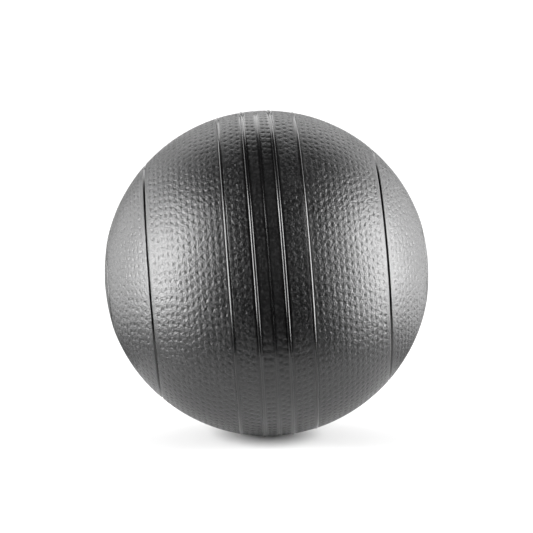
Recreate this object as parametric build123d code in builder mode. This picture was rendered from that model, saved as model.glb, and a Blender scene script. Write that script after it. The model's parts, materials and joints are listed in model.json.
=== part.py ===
from build123d import *
from math import asin, cos, degrees, radians, sin
import os

# Weighted, inflatable rubber medicine ball. Millimetres, +Z up, origin at the ball's centre.
# The pole axis lies along X: every rib and groove is a circle about it, and the valve is at the -X pole.

# Outside
ball_radius = 115.0
pole_flattening = 0.7
cover_thickness = 4.0

# Surface bands, measured along the pole axis from the centre plane
inner_rib_offset = 9.8
outer_rib_offset = 26.6
side_groove_offset = 79.9
pole_groove_offset = 110.4

# Raised ribs
inner_rib_width = 2.2
inner_rib_height = 0.6
outer_rib_width = 1.7
outer_rib_height = 0.5
rib_root_depth = 0.3
rib_root_flare = 0.15

# Mould parting ridge on the centre plane
parting_width = 0.6
parting_height = 0.12
parting_root_depth = 0.2

# Moulded grooves
groove_mouth_width = 1.7
groove_neck_width = 1.0
groove_floor_width = 0.7
groove_shoulder_depth = 0.35
groove_depth = 0.9
groove_cut_rise = 1.0

# Layers under the cover
carcass_thickness = 2.0
ballast_thickness = 10.0
winding_thickness = 1.5
bladder_thickness = 1.5
cement_film = 0.1

# Valve
valve_neck_radius = 6.0
valve_neck_gap = 0.05
valve_flange_radius = 13.0
valve_flange_thickness = 1.5
valve_patch_radius = 20.0
plug_head_radius = 3.4
plug_head_thickness = 1.6
plug_stem_radius = 2.4
plug_stem_length = 17.5
plug_clearance = 0.05
plug_face_sink = 0.15
plug_tip_chamfer = 0.4
needle_hole_radius = 1.1
needle_hole_depth = 13.0
needle_funnel_radius = 1.7
needle_funnel_depth = 0.6
slit_width = 2.4
slit_gap = 0.2

# Derived radii, from the outside in
cover_inner = ball_radius - cover_thickness
carcass_outer = cover_inner - cement_film
carcass_inner = carcass_outer - carcass_thickness
ballast_outer = carcass_inner - cement_film
ballast_inner = ballast_outer - ballast_thickness
winding_outer = ballast_inner - cement_film
winding_inner = winding_outer - winding_thickness
bladder_outer = winding_inner - cement_film
bladder_inner = bladder_outer - bladder_thickness
flange_outer = bladder_inner - cement_film
flange_inner = flange_outer - valve_flange_thickness
crown_offset = ball_radius - pole_flattening
plug_face_offset = crown_offset - plug_face_sink
plug_shoulder_offset = plug_face_offset - plug_head_thickness
plug_tip_offset = plug_shoulder_offset - plug_stem_length
valve_neck_length = crown_offset - flange_outer + valve_flange_thickness / 2
slit_length = plug_face_offset - needle_hole_depth - plug_tip_offset

# Latitudes of the surface bands, in degrees from the centre plane
pole_latitude = 90.0
inner_rib_latitude = degrees(asin(inner_rib_offset / ball_radius))
outer_rib_latitude = degrees(asin(outer_rib_offset / ball_radius))
side_groove_latitude = degrees(asin(side_groove_offset / ball_radius))
pole_groove_latitude = degrees(asin(pole_groove_offset / ball_radius))
belt_edge_latitude = outer_rib_latitude + degrees((outer_rib_width / 2 + rib_root_flare) / ball_radius)
film_latitude = degrees(cement_film / ball_radius)
patch_latitude = pole_latitude - degrees(valve_patch_radius / winding_outer)
flange_latitude = pole_latitude - degrees(valve_flange_radius / flange_outer)

LEFT = -1
RIGHT = 1
SIDES = {"left": LEFT, "right": RIGHT}

os.makedirs("parts", exist_ok=True)


def ring_point(radius, latitude):
    """Point of the half section at a radius from the centre and a latitude from the centre plane."""
    angle = radians(latitude)
    return (radius * sin(angle), radius * cos(angle))


def surface_point(latitude, along, above):
    """Point near the outer surface: along it from a latitude, and above it."""
    return ring_point(ball_radius + above, latitude + degrees(along / ball_radius))


def draw_band(inner, outer, first, last):
    """Half section of a spherical band between two radii and two latitudes."""
    middle = (first + last) / 2
    with BuildLine() as outline:
        ThreePointArc(ring_point(outer, first), ring_point(outer, middle), ring_point(outer, last))
        Line(ring_point(outer, last), ring_point(inner, last))
        ThreePointArc(ring_point(inner, last), ring_point(inner, middle), ring_point(inner, first))
        Line(ring_point(inner, first), ring_point(outer, first))
    make_face(outline.edges())


def draw_rib(latitude, width, height):
    """Half-round raised rib, rooted in the cover."""
    half_root = width / 2 + rib_root_flare
    with BuildLine() as outline:
        ThreePointArc(
            surface_point(latitude, -half_root, -rib_root_depth),
            surface_point(latitude, 0, height),
            surface_point(latitude, half_root, -rib_root_depth),
        )
        Line(
            surface_point(latitude, half_root, -rib_root_depth),
            surface_point(latitude, -half_root, -rib_root_depth),
        )
    make_face(outline.edges())


def draw_parting_ridge(side):
    """This side's half of the thin ridge where the mould halves meet."""
    with BuildLine() as outline:
        Polyline(
            surface_point(0, 0, -parting_root_depth),
            surface_point(0, 0, parting_height),
            surface_point(0, side * parting_width / 6, parting_height),
            surface_point(0, side * parting_width / 2, -parting_root_depth),
            close=True,
        )
    make_face(outline.edges())


def cut_groove(latitude):
    """Moulded groove with eased shoulders."""
    half_mouth = groove_mouth_width / 2
    half_neck = groove_neck_width / 2
    half_floor = groove_floor_width / 2
    with BuildLine() as outline:
        Polyline(
            surface_point(latitude, -half_mouth, groove_cut_rise),
            surface_point(latitude, -half_mouth, 0),
            surface_point(latitude, -half_neck, -groove_shoulder_depth),
            surface_point(latitude, -half_floor, -groove_depth),
            surface_point(latitude, half_floor, -groove_depth),
            surface_point(latitude, half_neck, -groove_shoulder_depth),
            surface_point(latitude, half_mouth, 0),
            surface_point(latitude, half_mouth, groove_cut_rise),
            close=True,
        )
    make_face(outline.edges(), mode=Mode.SUBTRACT)


def cut_valve_hole():
    """Round hole for the valve neck through the -X side of a shell."""
    with BuildSketch(Plane.YZ) as hole:
        Circle(valve_neck_radius + valve_neck_gap)
    extrude(hole.sketch, amount=-2 * ball_radius, mode=Mode.SUBTRACT)


def save_piece(piece, node):
    piece.part.label = node
    export_step(piece.part, f"parts/{node}.step")


def make_belt_panel(name, side):
    """Half of the centre belt, with both of its ribs and half of the parting ridge."""
    with BuildPart() as belt_panel:
        with BuildSketch(Plane.XY):
            draw_band(cover_inner, ball_radius, 0, side * belt_edge_latitude)
            draw_parting_ridge(side)
            draw_rib(side * inner_rib_latitude, inner_rib_width, inner_rib_height)
            draw_rib(side * outer_rib_latitude, outer_rib_width, outer_rib_height)
        revolve(axis=Axis.X)
    save_piece(belt_panel, f"{name}_belt_panel")


def make_side_panel(name, side):
    """Dimpled panel from the belt to the dark side groove."""
    first = side * (belt_edge_latitude + film_latitude)
    last = side * (side_groove_latitude - film_latitude / 2)
    with BuildPart() as side_panel:
        with BuildSketch(Plane.XY):
            draw_band(cover_inner, ball_radius, first, last)
            cut_groove(side * side_groove_latitude)
        revolve(axis=Axis.X)
    save_piece(side_panel, f"{name}_side_panel")


def make_polar_panel(name, side):
    """Dimpled panel from the side groove to the pole groove."""
    first = side * (side_groove_latitude + film_latitude / 2)
    last = side * (pole_groove_latitude - film_latitude / 2)
    with BuildPart() as polar_panel:
        with BuildSketch(Plane.XY):
            draw_band(cover_inner, ball_radius, first, last)
            cut_groove(side * side_groove_latitude)
            cut_groove(side * pole_groove_latitude)
        revolve(axis=Axis.X)
    save_piece(polar_panel, f"{name}_polar_panel")


def draw_crown(side):
    """Half section of a pole disc, whose outer face is slightly flatter than the ball."""
    rim_latitude = pole_groove_latitude + film_latitude / 2
    middle_latitude = (rim_latitude + pole_latitude) / 2
    rim_x, rim_y = ring_point(ball_radius, rim_latitude)
    crown_centre = (ball_radius**2 - crown_offset**2) / (2 * (rim_x - crown_offset))
    crown_radius = crown_offset - crown_centre
    half_angle = asin(rim_y / crown_radius) / 2
    crown_middle = (
        side * (crown_centre + crown_radius * cos(half_angle)),
        crown_radius * sin(half_angle),
    )
    with BuildLine() as outline:
        ThreePointArc((side * rim_x, rim_y), crown_middle, (side * crown_offset, 0))
        Line((side * crown_offset, 0), (side * cover_inner, 0))
        ThreePointArc(
            (side * cover_inner, 0),
            ring_point(cover_inner, side * middle_latitude),
            ring_point(cover_inner, side * rim_latitude),
        )
        Line(ring_point(cover_inner, side * rim_latitude), (side * rim_x, rim_y))
    make_face(outline.edges())


def make_pole_disc(name, side):
    """Round plate of the cover inside the pole groove. The left one has the valve hole."""
    with BuildPart() as pole_disc:
        with BuildSketch(Plane.XY):
            draw_crown(side)
            cut_groove(side * pole_groove_latitude)
        revolve(axis=Axis.X)
        if side == LEFT:
            cut_valve_hole()
    save_piece(pole_disc, f"{name}_pole_disc")


def make_half_shell(node, side, inner, outer):
    """Hemispherical layer from the centre plane to a pole. The left one has the valve hole."""
    with BuildPart() as half_shell:
        with BuildSketch(Plane.XY):
            draw_band(inner, outer, 0, side * pole_latitude)
        revolve(axis=Axis.X)
        if side == LEFT:
            cut_valve_hole()
    save_piece(half_shell, node)


for side_name, side_sign in SIDES.items():
    make_belt_panel(side_name, side_sign)
    make_side_panel(side_name, side_sign)
    make_polar_panel(side_name, side_sign)
    make_pole_disc(side_name, side_sign)
    make_half_shell(f"{side_name}_carcass_half", side_sign, carcass_inner, carcass_outer)
    make_half_shell(f"{side_name}_ballast_shell", side_sign, ballast_inner, ballast_outer)

# Thread winding: a cemented layer of cord around the bladder, open around the valve patch
with BuildPart() as thread_winding:
    with BuildSketch(Plane.XY):
        draw_band(winding_inner, winding_outer, film_latitude - patch_latitude, pole_latitude)
    revolve(axis=Axis.X)
save_piece(thread_winding, "thread_winding")

# Bladder: airtight hollow sphere with a hole for the valve
with BuildPart() as bladder:
    with BuildSketch(Plane.XY):
        draw_band(bladder_inner, bladder_outer, -pole_latitude, pole_latitude)
    revolve(axis=Axis.X)
    cut_valve_hole()
save_piece(bladder, "bladder")

# Valve patch: reinforcing disc on the bladder around the valve neck
with BuildPart() as valve_patch:
    with BuildSketch(Plane.XY):
        draw_band(winding_inner, winding_outer, -pole_latitude, -patch_latitude)
    revolve(axis=Axis.X)
    cut_valve_hole()
save_piece(valve_patch, "valve_patch")

# Valve body: neck through every layer, with a flange inside the bladder and a bore for the plug
with BuildPart() as valve_body:
    with BuildSketch(Plane.XY):
        draw_band(flange_inner, flange_outer, -pole_latitude, -flange_latitude)
    revolve(axis=Axis.X)
    with BuildSketch(Plane.YZ.offset(-crown_offset)):
        Circle(valve_neck_radius)
    extrude(amount=valve_neck_length)
    with BuildSketch(Plane.YZ):
        Circle(plug_stem_radius + plug_clearance)
    extrude(amount=-2 * ball_radius, mode=Mode.SUBTRACT)
    with BuildSketch(Plane.YZ.offset(-plug_shoulder_offset)):
        Circle(plug_head_radius + plug_clearance)
    extrude(amount=-plug_head_thickness * 2, mode=Mode.SUBTRACT)
save_piece(valve_body, "valve_body")

# Valve plug: soft stopper with a blind needle hole that closes to a slit at its tip
with BuildPart() as valve_plug:
    with BuildSketch(Plane.YZ.offset(-plug_shoulder_offset)):
        Circle(plug_head_radius)
    extrude(amount=-plug_head_thickness)
    with BuildSketch(Plane.YZ.offset(-plug_shoulder_offset)):
        Circle(plug_stem_radius)
    extrude(amount=plug_stem_length)
    chamfer(valve_plug.edges().sort_by(Axis.X)[-1], length=plug_tip_chamfer)
    with BuildSketch(Plane.YZ.offset(-plug_tip_offset)):
        Rectangle(slit_gap, slit_width)
    extrude(amount=-slit_length, mode=Mode.SUBTRACT)
    with BuildSketch(Plane.YZ.offset(-plug_face_offset)):
        Circle(needle_hole_radius)
    extrude(amount=needle_hole_depth, mode=Mode.SUBTRACT)
    with BuildSketch(Plane.XY):
        with BuildLine():
            Polyline(
                (-plug_face_offset, 0),
                (-plug_face_offset, needle_funnel_radius),
                (needle_funnel_depth - plug_face_offset, needle_hole_radius),
                (needle_funnel_depth - plug_face_offset, 0),
                close=True,
            )
        make_face()
    revolve(axis=Axis.X, mode=Mode.SUBTRACT)
save_piece(valve_plug, "valve_plug")
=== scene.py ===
import json
import math

import bpy
import numpy as np
from mathutils import Matrix, Vector


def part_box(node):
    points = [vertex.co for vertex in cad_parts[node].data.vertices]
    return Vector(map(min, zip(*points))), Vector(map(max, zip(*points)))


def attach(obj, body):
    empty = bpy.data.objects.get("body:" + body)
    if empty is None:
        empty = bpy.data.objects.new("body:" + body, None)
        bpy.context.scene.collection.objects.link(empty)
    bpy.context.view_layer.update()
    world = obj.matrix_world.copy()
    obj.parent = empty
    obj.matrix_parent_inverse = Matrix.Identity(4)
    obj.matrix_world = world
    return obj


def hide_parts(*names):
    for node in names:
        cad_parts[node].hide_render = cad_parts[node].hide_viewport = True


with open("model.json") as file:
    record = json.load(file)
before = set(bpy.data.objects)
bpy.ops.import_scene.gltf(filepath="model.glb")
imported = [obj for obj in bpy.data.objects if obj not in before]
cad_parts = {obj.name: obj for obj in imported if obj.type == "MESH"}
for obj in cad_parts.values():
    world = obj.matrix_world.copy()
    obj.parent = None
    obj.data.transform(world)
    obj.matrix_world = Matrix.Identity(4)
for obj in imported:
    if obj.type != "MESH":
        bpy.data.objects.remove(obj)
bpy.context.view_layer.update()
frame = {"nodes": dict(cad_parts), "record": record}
BODIES = frame["record"]["behaviour"]["bodies"]

# Sizes are in metres, in the row frame: the pole axis is X and the valve is at the -X pole.
MM = 0.001

# Outer surface
BALL_RADIUS = 115 * MM
COVER_INNER = 111 * MM
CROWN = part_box("right_pole_disc")[1].x
FILM = 0.1 * MM
VALVE_HOLE = 6.05 * MM
HOLE_EDGE = 0.35 * MM
HOLE_EDGE_TURNS = (math.pi / 6, math.pi / 3, math.pi / 2)
CAP_RADIUS = 0.5 * MM
UNEVEN_HEIGHT = 0.035 * MM

# Bands, along the pole axis from the centre plane
INNER_RIB = 9.8 * MM
OUTER_RIB = 26.6 * MM
SIDE_GROOVE = 79.9 * MM
POLE_GROOVE = 110.4 * MM

# Ribs, ridge and grooves
INNER_RIB_SIZE = (2.2 * MM, 0.6 * MM)
OUTER_RIB_SIZE = (1.7 * MM, 0.5 * MM)
RIB_EDGE = 0.15 * MM
CREASE_DEPTH = 0.1 * MM
CREASE_WIDTH = 0.35 * MM
RIDGE_SIZE = (0.6 * MM, 0.13 * MM)
GROOVE_DEPTH = 0.9 * MM
GROOVE_FLOOR = 0.3 * MM
GROOVE_MOUTH = 0.85 * MM

# Dimples and grain
PIT_PITCH = 5.8 * MM
PIT_WIDTH = 1.45 * MM
PIT_LENGTH = 1.65 * MM
PIT_FLOOR = 0.38
PIT_DEPTH = 0.28 * MM
PIT_DEPTH_SPREAD = 0.08
PIT_PLACE_SPREAD = 0.12 * MM
GRAIN_HEIGHT = 0.005 * MM
GRAIN_LENGTHS = (2.2 * MM, 3.3 * MM)
GRAIN_WAVES = 40
SMOOTH_LAND = 1.7 * MM
NARROW_LAND = 0.9 * MM
GRAIN_FADE = 1.1 * MM
BELT_GRAIN = 0.6

# Dimple rings, in degrees of latitude
BELT_RINGS = (1.7, 3.4)
RING_SPACING = 2.12
POLAR_RING_SPACING = 2.3
RIB_LAND = 2.0
GROOVE_LAND = 3.0
POLE_LAND = 1.8

# Mesh density
ROW_STEP = 0.72 * MM
FINE_STEP = 0.2 * MM
RIDGE_STEP = 0.1 * MM
INNER_STEP = 8 * MM
CLOSEST_ROWS = 0.09 * MM
RIB_ROWS = 0.6 * MM
GROOVE_ROWS = 0.1 * MM
BELT_COLUMNS = 1024
SIDE_COLUMNS = 900
POLAR_COLUMNS = 640
DISC_COLUMNS = 320
SHARP_ANGLE = math.radians(58)

# Cover rubber
BLACK_LOW = (0.003, 0.003, 0.0031)
BLACK_HIGH = (0.005, 0.005, 0.0051)
# Painted shade: the dimples' colour is pulled towards this dark tone, more in deeper dimples
PIT_PAINTED_SHADE = (0.004, 0.004, 0.004)
# Lighter specks: partly bloom on the raised grain, partly painted glints standing in for highlights on the
# grain
BLOOM_AND_GLINT = (0.022, 0.022, 0.0225)
PEBBLE_HEIGHT = 0.18 * MM
SMOOTH_GRAIN = 0.06
RUBBER_IOR = 1.5
CLOUD_SCALE = 26
SPECK_SCALE = 780
PEBBLE_SCALE = 880
FINE_GRAIN_SCALE = 1250
ROUGHNESS = (0.3, 0.37)
PIT_DULLER = 0.03
SPECK_DULLER = 0.17
CREST_SMOOTHER = 0.05
LAND_SMOOTHER = 0.1

# Thread layer
THREAD_TURNS = (0.0, 1.05, 2.1)
THREAD_SCALE = 210.0
THREAD_DARK = (0.25, 0.22, 0.16)
THREAD_LIGHT = (0.72, 0.69, 0.6)
THREAD_ROUGHNESS = 0.8
THREAD_HEIGHT = 0.4 * MM

# Photo setup: the ball lies with its pole axis a little off level, so the studio is turned round it
POLE_TILT = math.radians(4.15)
CAMERA_AZIMUTH = math.radians(-1.7)
CAMERA_ELEVATION = math.radians(7)
CAMERA_DISTANCE = 12 * BALL_RADIUS
CAMERA_LENS = 131.4
CAMERA_SENSOR = 36
CAMERA_AIM = 4.75 * MM
STUDIO = Matrix.Rotation(POLE_TILT, 4, "Y")
BACKDROP_STRENGTH = 1.2
FLOOR_RADIUS = 170 * MM
FLOOR_GAP = 0.1 * MM
FLOOR_RINGS = 12
FLOOR_SPOKES = 96
FLOOR_TONE = (0.7, 0.7, 0.7, 1)
FLOOR_ROUGHNESS = 0.9

# Softboxes aimed at the ball's centre: azimuth and elevation in degrees, width and height in metres, watts
SOFTBOX_DISTANCE = 1.5
SOFTBOXES = (
    ("left_softbox", -75, 8, 0.9, 1.6, 101),
    ("right_softbox", 82, 8, 1.1, 1.6, 101),
    ("rear_left_softbox", -115, 8, 1.6, 1.6, 28),
    ("rear_right_softbox", 120, 8, 1.6, 1.6, 24),
    ("back_softbox", 180, 43, 1.6, 0.85, 12),
    ("backdrop_glow", 180, 4, 1.0, 0.7, 3),
)


def arc(offset):
    """Distance along the surface from the centre plane to a circle at an offset along the pole axis."""
    return BALL_RADIUS * math.asin(offset / BALL_RADIUS)


def degrees_of(distance):
    """Latitude in degrees of a distance along the surface from the centre plane."""
    return math.degrees(distance / BALL_RADIUS)


BELT_EDGE = arc(OUTER_RIB) + OUTER_RIB_SIZE[0] / 2 + RIB_EDGE


def smooth_step(low, high, value):
    """0 up to low, 1 from high on, and a smooth rise between them."""
    share = np.clip((value - low) / (high - low), 0, 1)
    return share * share * (3 - 2 * share)


def bead_height(distance, size):
    """Half-round bead. distance is from its centre line."""
    width, height = size
    radius = (width**2 / 4 + height**2) / (2 * height)
    inside = np.sqrt(np.maximum(radius**2 - distance**2, 0)) - (radius - height)
    return np.maximum(inside, 0)


def crease_height(distance, size):
    """Fine crease along the poleward base of a rib. distance is poleward of the rib's centre line."""
    return -CREASE_DEPTH * np.exp(-(((distance - size[0] / 2) / CREASE_WIDTH) ** 2))


def groove_height(distance):
    return -GROOVE_DEPTH * (1 - smooth_step(GROOVE_FLOOR, GROOVE_MOUTH, np.abs(distance)))


def band_height(along):
    """Height of the plain moulding over the ball's sphere, at a distance along from the centre plane."""
    side = np.abs(along)
    height = bead_height(side, RIDGE_SIZE)
    for rib, size in ((arc(INNER_RIB), INNER_RIB_SIZE), (arc(OUTER_RIB), OUTER_RIB_SIZE)):
        height += bead_height(side - rib, size) + crease_height(side - rib, size)
    height += groove_height(side - arc(SIDE_GROOVE))
    height += groove_height(side - arc(POLE_GROOVE))
    return height


def ring_latitudes():
    """Latitudes of the dimple rings on one side of the centre plane, in degrees."""
    inner_rib = degrees_of(arc(INNER_RIB))
    outer_rib = degrees_of(arc(OUTER_RIB))
    groove = degrees_of(arc(SIDE_GROOVE))
    pole_groove = degrees_of(arc(POLE_GROOVE))
    middle = (inner_rib + outer_rib) / 2
    rings = list(BELT_RINGS)
    for first, last, spacing in (
        (middle - RING_SPACING, middle + RING_SPACING, RING_SPACING),
        (outer_rib + RIB_LAND, groove - GROOVE_LAND, RING_SPACING),
        (groove + GROOVE_LAND, pole_groove - POLE_LAND, POLAR_RING_SPACING),
    ):
        rings += list(np.linspace(first, last, round((last - first) / spacing) + 1))
    return rings


def pit_rings():
    """Every dimple ring of the ball: distance along the surface, count, phase, and each dimple's own size."""
    random = np.random.RandomState(7)
    rings = []
    for side in (-1, 1):
        for latitude in ring_latitudes():
            radius = BALL_RADIUS * math.cos(math.radians(latitude))
            count = round(2 * math.pi * radius / PIT_PITCH)
            rings.append(
                {
                    "along": side * math.radians(latitude) * BALL_RADIUS,
                    "count": count,
                    "phase": random.rand(),
                    "radius": radius,
                    "depth": random.normal(1, PIT_DEPTH_SPREAD, count),
                    "shift": random.normal(0, PIT_PLACE_SPREAD, (2, count)),
                }
            )
    return rings


RINGS = pit_rings()
RING_PLACES = np.array(sorted(ring["along"] for ring in RINGS))


def pit_share(along, turns):
    """How deep the surface lies in a dimple, 0 to 1, along one row. turns is the place round the ball."""
    ring = min(RINGS, key=lambda each: abs(each["along"] - along))
    if abs(ring["along"] - along) > PIT_LENGTH:
        return np.zeros_like(turns)
    place = turns * ring["count"] + ring["phase"]
    index = np.floor(place).astype(int) % ring["count"]
    pitch = 2 * math.pi * ring["radius"] / ring["count"]
    round_ball = (place - np.floor(place) - 0.5) * pitch + ring["shift"][0][index]
    poleward = along - ring["along"] + ring["shift"][1][index]
    share = 1 - smooth_step(PIT_FLOOR, 1, np.hypot(round_ball / PIT_LENGTH, poleward / PIT_WIDTH))
    return share * ring["depth"][index]


def grain_waves():
    """Random plane waves whose sum is the coarse part of the moulded grain. Each is a direction times
    2 pi / length, and a phase."""
    random = np.random.RandomState(11)
    directions = random.normal(size=(GRAIN_WAVES, 3))
    directions /= np.linalg.norm(directions, axis=1, keepdims=True)
    lengths = random.uniform(*GRAIN_LENGTHS, GRAIN_WAVES)
    return 2 * math.pi * directions / lengths[:, None], random.uniform(0, 2 * math.pi, GRAIN_WAVES)


WAVES, PHASES = grain_waves()


def coarse_grain(unit):
    """Height of the coarse grain at unit directions, with a spread of about 1."""
    total = np.sin(WAVES @ (BALL_RADIUS * unit) + PHASES[:, None]).sum(axis=0)
    return total / math.sqrt(GRAIN_WAVES / 2)


def grain_share(along):
    """1 in the grained panels, 0 on the ribs, the ridge, the grooves and the smooth land beside them."""
    side = abs(along)
    share = 1.0
    for place, reach in (
        (arc(INNER_RIB), INNER_RIB_SIZE[0] / 2 + SMOOTH_LAND),
        (arc(OUTER_RIB), OUTER_RIB_SIZE[0] / 2 + NARROW_LAND),
        (0, RIDGE_SIZE[0] / 2 + SMOOTH_LAND),
        (arc(SIDE_GROOVE), GROOVE_MOUTH + NARROW_LAND),
        (arc(POLE_GROOVE), GROOVE_MOUTH + NARROW_LAND),
    ):
        share *= float(smooth_step(reach - GRAIN_FADE, reach, abs(side - place)))
    if side < arc(INNER_RIB):
        share *= BELT_GRAIN
    return share


def unevenness(points):
    """Slow unevenness of the moulding, from the unit direction of each point. The wave numbers are free."""
    x, y, z = points
    wave = np.sin(23 * x + 5 * y) * np.sin(19 * y - 7 * z + 1) + 0.6 * np.sin(31 * z + 11 * x + 2)
    return UNEVEN_HEIGHT * wave


def rows_between(start, end, step):
    return list(np.linspace(start, end, max(2, math.ceil(abs(end - start) / step) + 1)))


def outer_rows(start, end):
    """Row places along the surface: one on each dimple ring, and close together over ribs and grooves."""
    stops = [start, *(place for place in RING_PLACES if start < place < end), end]
    rows = [row for first, last in zip(stops, stops[1:]) for row in rows_between(first, last, ROW_STEP)]
    for place, reach in (
        (arc(INNER_RIB), INNER_RIB_SIZE[0] / 2 + RIB_ROWS),
        (arc(OUTER_RIB), OUTER_RIB_SIZE[0] / 2 + RIB_ROWS),
        (0, RIB_ROWS),
        (arc(SIDE_GROOVE), GROOVE_MOUTH + GROOVE_ROWS),
        (arc(POLE_GROOVE), GROOVE_MOUTH + GROOVE_ROWS),
    ):
        rows = [row for row in rows if abs(row - place) > reach or row in (start, end)]
        fine = np.arange(place - reach, place + reach, FINE_STEP if place else RIDGE_STEP)
        rows += [row for row in fine if start < row < end]
    rows = sorted(set(rows))
    kept = [rows[0]]
    for row in rows[1:-1]:
        if row - kept[-1] > CLOSEST_ROWS and rows[-1] - row > CLOSEST_ROWS:
            kept.append(row)
    return kept + [rows[-1]]


def panel_section(start, end):
    """Closed half section of a cover panel: each ring's latitude, distance from the centre, outer or not."""
    outer = [(row / BALL_RADIUS, BALL_RADIUS, True) for row in outer_rows(start, end)]
    inner = [(row / BALL_RADIUS, COVER_INNER, False) for row in rows_between(end, start, INNER_STEP)]
    return outer + inner


def crown_distance(latitude):
    """Distance of a pole disc's outer face from the ball's centre, flatter than the ball towards the pole."""
    rim = math.asin(POLE_GROOVE / BALL_RADIUS)
    rim_x, rim_y = BALL_RADIUS * math.sin(rim), BALL_RADIUS * math.cos(rim)
    centre = (BALL_RADIUS**2 - CROWN**2) / (2 * (rim_x - CROWN))
    radius = CROWN - centre
    return centre * math.sin(latitude) + math.sqrt(radius**2 - (centre * math.cos(latitude)) ** 2)


def disc_section(hole):
    """Half section of a pole disc from its rim to a round hole, or to a small ring that a cap closes."""
    edge = HOLE_EDGE if hole else 0
    inner_radius = hole if hole else CAP_RADIUS
    start = arc(POLE_GROOVE) + FILM / 2
    rim = start / BALL_RADIUS
    last = math.acos((inner_radius + edge) / CROWN)
    rows = [row / BALL_RADIUS for row in outer_rows(start, last * BALL_RADIUS)]
    section = [(latitude, crown_distance(latitude), True) for latitude in rows]
    if hole:
        for turn in HOLE_EDGE_TURNS:
            across = hole + edge * (1 - math.sin(turn))
            along = CROWN - edge * (1 - math.cos(turn))
            section.append((math.atan2(along, across), math.hypot(along, across), True))
    last_inner = math.acos(inner_radius / COVER_INNER)
    inner = rows_between(last_inner * COVER_INNER, rim * COVER_INNER, INNER_STEP)
    return section + [(row / COVER_INNER, COVER_INNER, False) for row in inner]


def grid_mesh(name, points, masks, cap_after=None):
    """Closed mesh of rings of points, each joined to the next and the last to the first.

    After the ring that cap_after names, two small caps take the place of the join. Each mask becomes a
    mesh attribute of its name."""
    rows, columns = points.shape[:2]
    index = np.arange(rows * columns).reshape(rows, columns)
    index = np.hstack([index, index[:, :1]])
    following = np.roll(index, -1, axis=0)
    quads = np.stack([index[:, :-1], index[:, 1:], following[:, 1:], following[:, :-1]], axis=-1)
    places = points.reshape(-1, 3)
    values = {key: mask.reshape(-1) for key, mask in masks.items()}
    fans = []
    if cap_after is not None:
        quads = np.delete(quads, cap_after, axis=0)
        for row, step in ((cap_after, 1), (cap_after + 1, -1)):
            ring = index[row][::step]
            fans.append(np.stack([ring[:-1], ring[1:], np.full(columns, len(places))], axis=-1).reshape(-1))
            places = np.vstack([places, points[row].mean(axis=0)])
            values = {key: np.append(value, masks[key][row, 0]) for key, value in values.items()}
    corners = np.concatenate([quads.reshape(-1), *fans])
    sizes = np.concatenate([np.full(quads.size // 4, 4), np.full(sum(fan.size for fan in fans) // 3, 3)])
    mesh = bpy.data.meshes.new(name)
    mesh.vertices.add(len(places))
    mesh.vertices.foreach_set("co", places.reshape(-1).astype(np.float32))
    mesh.loops.add(len(corners))
    mesh.loops.foreach_set("vertex_index", corners.astype(np.int32))
    mesh.polygons.add(len(sizes))
    mesh.polygons.foreach_set("loop_start", (np.cumsum(sizes) - sizes).astype(np.int32))
    for key, value in values.items():
        layer = mesh.attributes.new(key, "FLOAT", "POINT")
        layer.data.foreach_set("value", value.astype(np.float32))
    mesh.update(calc_edges=True)
    mesh.validate()
    return mesh


def cover_piece(node, side, rings, columns, material, cap_after=None):
    """Dense closed mesh of one piece of the cover, dimpled outside, that stands for its CAD node.

    Its masks are pit (depth in a dimple), crest (height of the moulding) and grain (0 on plain land)."""
    turns = np.arange(columns) / columns
    angle = 2 * math.pi * turns
    points, masks = [], {"pit": [], "crest": [], "grain": []}
    for latitude, distance, outside in rings:
        along = latitude * BALL_RADIUS
        unit = np.stack(
            [
                np.full(columns, side * math.sin(latitude)),
                -math.cos(latitude) * np.cos(angle),
                math.cos(latitude) * np.sin(angle),
            ]
        )
        pit, band, grain, height = np.zeros(columns), 0.0, 0.0, 0.0
        if outside:
            pit = pit_share(side * along, turns)
            band = float(band_height(np.array(along)))
            grain = grain_share(along)
            height = band - PIT_DEPTH * pit + unevenness(unit) + GRAIN_HEIGHT * grain * coarse_grain(unit)
        points.append(((distance + height) * unit).T)
        masks["pit"].append(pit)
        masks["crest"].append(np.full(columns, band / INNER_RIB_SIZE[1]))
        masks["grain"].append(np.full(columns, grain))
    masks = {name: np.array(values) for name, values in masks.items()}
    return add_piece(node, grid_mesh(node + "_mesh", np.array(points), masks, cap_after), material)


def add_piece(node, mesh, material):
    """Object for a mesh that stands for a CAD node, on that node's body."""
    turn_outward(mesh)
    mesh.polygons.foreach_set("use_smooth", np.ones(len(mesh.polygons), bool))
    mesh.set_sharp_from_angle(angle=SHARP_ANGLE)
    mesh.materials.append(material)
    piece = bpy.data.objects.new(node + "_moulded", mesh)
    bpy.context.scene.collection.objects.link(piece)
    body = next(name for name, members in BODIES.items() if node in members)
    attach(piece, body)
    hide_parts(node)
    return piece


def turn_outward(mesh):
    """Flips the faces if the closed mesh encloses negative volume."""
    mesh.calc_loop_triangles()
    corners = np.zeros(len(mesh.loop_triangles) * 3, np.int32)
    mesh.loop_triangles.foreach_get("vertices", corners)
    places = np.zeros(len(mesh.vertices) * 3, np.float32)
    mesh.vertices.foreach_get("co", places)
    a, b, c = places.reshape(-1, 3)[corners.reshape(-1, 3)].transpose(1, 0, 2).astype(float)
    if np.einsum("ij,ij->i", a, np.cross(b, c)).sum() < 0:
        mesh.flip_normals()


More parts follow.
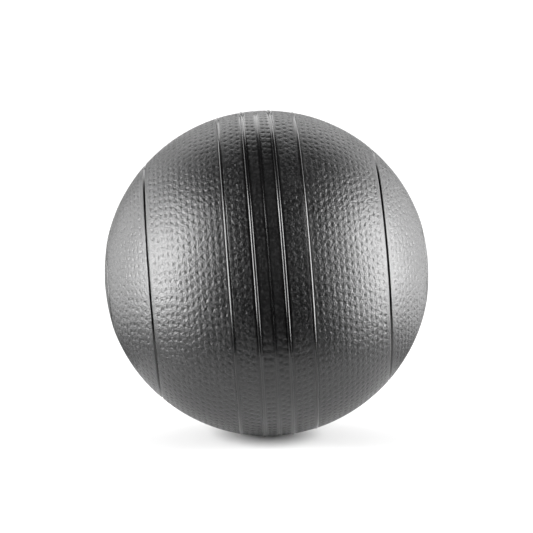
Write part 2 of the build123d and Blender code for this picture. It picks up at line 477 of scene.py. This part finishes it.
class Nodes:
    """Short forms for building a node material."""

    def __init__(self, name):
        self.material = bpy.data.materials.new(name)
        self.material.use_nodes = True
        self.tree = self.material.node_tree
        self.shader = self.tree.nodes["Principled BSDF"]

    def add(self, kind, **settings):
        node = self.tree.nodes.new(kind)
        for key, value in settings.items():
            if key in node.inputs:
                node.inputs[key].default_value = value
            else:
                setattr(node, key, value)
        return node

    def link(self, output, target):
        self.tree.links.new(output, target)

    def noise(self, scale, detail=4.0, roughness=0.5):
        place = self.add("ShaderNodeTexCoord")
        noise = self.add("ShaderNodeTexNoise", Scale=scale, Detail=detail, Roughness=roughness)
        self.link(place.outputs["Object"], noise.inputs["Vector"])
        return noise.outputs["Fac"]

    def pebbles(self, scale):
        """Distance to the nearest of many scattered points, rounded between cells."""
        place = self.add("ShaderNodeTexCoord")
        cells = self.add("ShaderNodeTexVoronoi", feature="SMOOTH_F1", Scale=scale, Smoothness=0.35)
        self.link(place.outputs["Object"], cells.inputs["Vector"])
        return cells.outputs["Distance"]

    def remap(self, value, low, high, new_low, new_high):
        node = self.add("ShaderNodeMapRange")
        self.link(value, node.inputs["Value"])
        for key, number in (
            ("From Min", low),
            ("From Max", high),
            ("To Min", new_low),
            ("To Max", new_high),
        ):
            node.inputs[key].default_value = number
        return node.outputs["Result"]

    def math(self, operation, a, b):
        node = self.add("ShaderNodeMath", operation=operation)
        for socket, value in zip(node.inputs, (a, b)):
            if isinstance(value, (int, float)):
                socket.default_value = value
            else:
                self.link(value, socket)
        return node.outputs[0]

    def mix_colour(self, share, first, second):
        node = self.add("ShaderNodeMix", data_type="RGBA")
        self.link(share, node.inputs[0])
        for socket, colour in ((node.inputs[6], first), (node.inputs[7], second)):
            if isinstance(colour, tuple):
                socket.default_value = (*colour, 1)
            else:
                self.link(colour, socket)
        return node.outputs[2]

    def attribute(self, name):
        return self.add("ShaderNodeAttribute", attribute_name=name).outputs["Fac"]

    def bump(self, height, strength, distance):
        node = self.add("ShaderNodeBump", Strength=strength, Distance=distance)
        self.link(height, node.inputs["Height"])
        self.link(node.outputs["Normal"], self.shader.inputs["Normal"])


def cover_rubber():
    """Black satin rubber. The dimples are a little duller and darkened with painted shade, the rib crests and
    the plain land beside the ribs smoother, and fine specks in the grained panels duller and lighter, partly
    bloom on the grain and partly painted glints."""
    nodes = Nodes("cover_rubber")
    shader = nodes.shader
    shader.inputs["Metallic"].default_value = 0
    shader.inputs["IOR"].default_value = RUBBER_IOR
    pit = nodes.attribute("pit")
    crest = nodes.attribute("crest")
    grained = nodes.remap(nodes.attribute("grain"), 0, 1, SMOOTH_GRAIN, 1)
    clouds = nodes.noise(CLOUD_SCALE, 5, 0.55)
    specks = nodes.remap(nodes.noise(SPECK_SCALE, 2, 0.6), 0.47, 0.64, 0, 1)
    specks = nodes.math("MULTIPLY", specks, grained)

    base = nodes.mix_colour(nodes.remap(clouds, 0.35, 0.65, 0, 1), BLACK_LOW, BLACK_HIGH)
    # Lighter specks in the grained panels: partly bloom, partly painted glints
    bloom_and_glints = nodes.mix_colour(specks, base, BLOOM_AND_GLINT)
    # Painted shade in the dimples, stronger where they are deeper
    dimpled = nodes.mix_colour(nodes.remap(pit, 0.2, 0.9, 0, 0.75), bloom_and_glints, PIT_PAINTED_SHADE)
    nodes.link(dimpled, shader.inputs["Base Color"])

    rough = nodes.remap(clouds, 0.3, 0.7, *ROUGHNESS)
    rough = nodes.math("ADD", rough, nodes.remap(pit, 0, 1, 0, PIT_DULLER))
    rough = nodes.math("SUBTRACT", rough, nodes.remap(crest, 0.3, 1, 0, CREST_SMOOTHER))
    rough = nodes.math("SUBTRACT", rough, nodes.remap(grained, 0.1, 0.6, LAND_SMOOTHER, 0))
    rough = nodes.math("ADD", rough, nodes.math("MULTIPLY", specks, SPECK_DULLER))
    nodes.link(rough, shader.inputs["Roughness"])

    pebbles = nodes.math("SUBTRACT", 1.0, nodes.pebbles(PEBBLE_SCALE))
    height = nodes.math("ADD", nodes.noise(FINE_GRAIN_SCALE, 2, 0.55), pebbles)
    nodes.bump(nodes.math("MULTIPLY", height, grained), 1.0, PEBBLE_HEIGHT)
    return nodes.material


def plain_rubber(name, dark, light, roughness, speck_scale, speck_height):
    """Rubber of an inner layer or of the valve, with specks of filler."""
    nodes = Nodes(name)
    specks = nodes.noise(speck_scale, 3, 0.6)
    clouds = nodes.noise(40, 4, 0.5)
    filler = nodes.remap(specks, 0.5, 0.72, 0, 0.6)
    tone = nodes.math("ADD", filler, nodes.remap(clouds, 0.35, 0.65, 0, 0.4))
    nodes.link(nodes.mix_colour(tone, dark, light), nodes.shader.inputs["Base Color"])
    rough = nodes.remap(clouds, 0.3, 0.7, roughness - 0.05, roughness + 0.05)
    nodes.link(rough, nodes.shader.inputs["Roughness"])
    nodes.bump(specks, 0.4, speck_height)
    return nodes.material


def winding_thread():
    """Cemented thread laid over the bladder in crossing directions."""
    nodes = Nodes("winding_thread")
    place = nodes.add("ShaderNodeTexCoord")
    waves = []
    for turn in THREAD_TURNS:
        mapping = nodes.add("ShaderNodeMapping")
        mapping.inputs["Rotation"].default_value = (turn, turn / 2, turn * 1.3)
        nodes.link(place.outputs["Object"], mapping.inputs["Vector"])
        wave = nodes.add("ShaderNodeTexWave", Scale=THREAD_SCALE, Distortion=1.2, Detail=2.0)
        nodes.link(mapping.outputs["Vector"], wave.inputs["Vector"])
        waves.append(wave.outputs["Fac"])
    height = nodes.math("MAXIMUM", nodes.math("MAXIMUM", waves[0], waves[1]), waves[2])
    colour = nodes.mix_colour(nodes.remap(height, 0.3, 1, 0, 1), THREAD_DARK, THREAD_LIGHT)
    nodes.link(colour, nodes.shader.inputs["Base Color"])
    nodes.shader.inputs["Roughness"].default_value = THREAD_ROUGHNESS
    nodes.bump(height, 0.8, THREAD_HEIGHT)
    return nodes.material


def make_cover():
    material = cover_rubber()
    half_film = FILM / 2
    side_groove, pole_groove = arc(SIDE_GROOVE), arc(POLE_GROOVE)
    for name, side in (("left", -1), ("right", 1)):
        belt = panel_section(0, BELT_EDGE)
        side_band = panel_section(BELT_EDGE + FILM, side_groove - half_film)
        polar_band = panel_section(side_groove + half_film, pole_groove - half_film)
        cover_piece(f"{name}_belt_panel", side, belt, BELT_COLUMNS, material)
        cover_piece(f"{name}_side_panel", side, side_band, SIDE_COLUMNS, material)
        cover_piece(f"{name}_polar_panel", side, polar_band, POLAR_COLUMNS, material)
    cover_piece("left_pole_disc", -1, disc_section(VALVE_HOLE), DISC_COLUMNS, material)
    plain_disc = disc_section(0)
    middle = [ring[2] for ring in plain_disc].index(False) - 1
    cover_piece("right_pole_disc", 1, plain_disc, DISC_COLUMNS, material, cap_after=middle)


def dress_inner_pieces():
    """Materials for the pieces that keep their CAD meshes."""
    carcass = plain_rubber(
        "carcass_rubber",
        dark=(0.03, 0.029, 0.027),
        light=(0.07, 0.066, 0.06),
        roughness=0.6,
        speck_scale=700,
        speck_height=0.1 * MM,
    )
    ballast = plain_rubber(
        "ballast_rubber",
        dark=(0.05, 0.046, 0.042),
        light=(0.2, 0.18, 0.16),
        roughness=0.7,
        speck_scale=420,
        speck_height=0.2 * MM,
    )
    butyl = plain_rubber(
        "butyl",
        dark=(0.02, 0.02, 0.02),
        light=(0.05, 0.05, 0.052),
        roughness=0.42,
        speck_scale=900,
        speck_height=0.05 * MM,
    )
    valve = plain_rubber(
        "valve_rubber",
        dark=(0.02, 0.02, 0.02),
        light=(0.045, 0.045, 0.045),
        roughness=0.5,
        speck_scale=1400,
        speck_height=0.05 * MM,
    )
    plug = plain_rubber(
        "plug_rubber",
        dark=(0.012, 0.012, 0.012),
        light=(0.03, 0.03, 0.03),
        roughness=0.38,
        speck_scale=1600,
        speck_height=0.04 * MM,
    )
    thread = winding_thread()
    for node, material in (
        ("left_carcass_half", carcass),
        ("right_carcass_half", carcass),
        ("left_ballast_shell", ballast),
        ("right_ballast_shell", ballast),
        ("bladder", butyl),
        ("valve_patch", butyl),
        ("valve_body", valve),
        ("valve_plug", plug),
        ("thread_winding", thread),
    ):
        frame["nodes"][node].data.materials.clear()
        frame["nodes"][node].data.materials.append(material)


def studio_matrix(azimuth, elevation, distance, target):
    """Place and aim of something that looks at a target, by its direction in the turned studio."""
    back = Vector(
        (
            math.sin(azimuth) * math.cos(elevation),
            -math.cos(azimuth) * math.cos(elevation),
            math.sin(elevation),
        )
    )
    place = target + back * distance
    turn = (-back).to_track_quat("-Z", "Y").to_matrix().to_4x4()
    return STUDIO @ Matrix.Translation(place) @ turn


def add_camera():
    data = bpy.data.cameras.new("camera")
    data.lens = CAMERA_LENS
    data.sensor_width = CAMERA_SENSOR
    camera = bpy.data.objects.new("camera", data)
    bpy.context.scene.collection.objects.link(camera)
    target = Vector((0, 0, CAMERA_AIM))
    camera.matrix_world = studio_matrix(CAMERA_AZIMUTH, CAMERA_ELEVATION, CAMERA_DISTANCE, target)
    bpy.context.scene.camera = camera


def add_softbox(name, azimuth, elevation, width, height, watts):
    data = bpy.data.lights.new(name, "AREA")
    data.shape = "RECTANGLE"
    data.size = width
    data.size_y = height
    data.energy = watts
    light = bpy.data.objects.new(name, data)
    bpy.context.scene.collection.objects.link(light)
    light.matrix_world = studio_matrix(
        math.radians(azimuth), math.radians(elevation), SOFTBOX_DISTANCE, Vector((0, 0, 0))
    )
    light.visible_camera = False


def add_floor():
    """Round white disc that touches the ball under its centre, with rings closer together in the middle."""
    points = []
    for ring in range(1, FLOOR_RINGS + 1):
        reach = (ring / FLOOR_RINGS) ** 2
        for spoke in range(FLOOR_SPOKES):
            turn = 2 * math.pi * spoke / FLOOR_SPOKES
            points.append((FLOOR_RADIUS * reach * math.cos(turn), FLOOR_RADIUS * reach * math.sin(turn), 0))
    points.append((0, 0, 0))
    faces = [(len(points) - 1, spoke, (spoke + 1) % FLOOR_SPOKES) for spoke in range(FLOOR_SPOKES)]
    for ring in range(FLOOR_RINGS - 1):
        for spoke in range(FLOOR_SPOKES):
            first = ring * FLOOR_SPOKES + spoke
            second = ring * FLOOR_SPOKES + (spoke + 1) % FLOOR_SPOKES
            faces.append((first, first + FLOOR_SPOKES, second + FLOOR_SPOKES, second))
    mesh = bpy.data.meshes.new("floor")
    mesh.from_pydata(points, [], faces)
    floor = bpy.data.objects.new("floor", mesh)
    bpy.context.scene.collection.objects.link(floor)
    floor.matrix_world = STUDIO @ Matrix.Translation((0, 0, -BALL_RADIUS - FLOOR_GAP))
    nodes = Nodes("floor_white")
    nodes.shader.inputs["Base Color"].default_value = FLOOR_TONE
    nodes.shader.inputs["Roughness"].default_value = FLOOR_ROUGHNESS
    mesh.materials.append(nodes.material)


def set_world():
    """White backdrop that only the camera sees. All the light comes from the softboxes."""
    world = bpy.data.worlds.new("studio")
    bpy.context.scene.world = world
    world.use_nodes = True
    tree = world.node_tree
    room = tree.nodes["Background"]
    room.inputs["Color"].default_value = (1, 1, 1, 1)
    room.inputs["Strength"].default_value = 0.0
    backdrop = tree.nodes.new("ShaderNodeBackground")
    backdrop.inputs["Color"].default_value = (1, 1, 1, 1)
    backdrop.inputs["Strength"].default_value = BACKDROP_STRENGTH
    path = tree.nodes.new("ShaderNodeLightPath")
    mix = tree.nodes.new("ShaderNodeMixShader")
    tree.links.new(path.outputs["Is Camera Ray"], mix.inputs[0])
    tree.links.new(room.outputs[0], mix.inputs[1])
    tree.links.new(backdrop.outputs[0], mix.inputs[2])
    tree.links.new(mix.outputs[0], tree.nodes["World Output"].inputs["Surface"])
    bpy.context.scene.view_settings.view_transform = "Standard"


make_cover()
dress_inner_pieces()
add_camera()
add_floor()
set_world()
for softbox in SOFTBOXES:
    add_softbox(*softbox)
